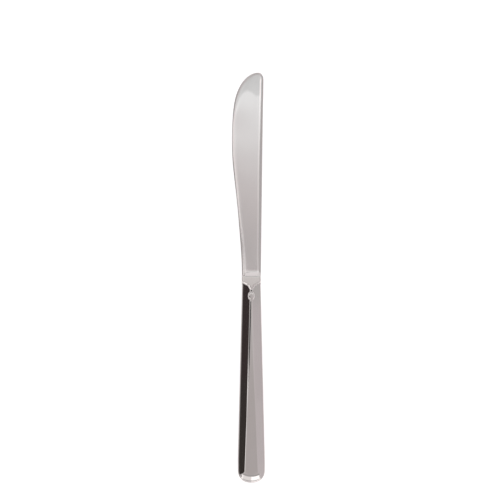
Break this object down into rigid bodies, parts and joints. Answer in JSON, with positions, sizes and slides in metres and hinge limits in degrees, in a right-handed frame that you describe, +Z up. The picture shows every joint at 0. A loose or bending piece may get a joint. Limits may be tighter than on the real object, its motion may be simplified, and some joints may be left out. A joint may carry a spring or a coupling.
{
  "type": "dessert knife",
  "caption": "Stainless steel dessert knife: satin round-tipped blade set in a polished hollow handle with bevelled sides, scalloped neck and bead.",
  "frame": {"origin": "on the surface the knife lies on, under the middle of its length and width", "axes": "+Y from the butt of the handle to the tip of the blade, +X to the spine side, +Z up from the surface, with the front of the knife facing up"},
  "size_m": [0.0164, 0.205, 0.0064],
  "materials": {
    "satin_steel": "satin",
    "polished_steel_front": "polished",
    "polished_steel_back": "polished",
    "silver_braze": "satin",
    "resin_cement": "matte",
    "sand": "matte"
  },
  "bodies": {
    "root": {"blade": "satin_steel", "front_handle_shell": "polished_steel_front", "back_handle_shell": "polished_steel_back", "seam_braze": "silver_braze", "tang_resin": "resin_cement", "sand_ballast": "sand"}
  },
  "joints": []
}
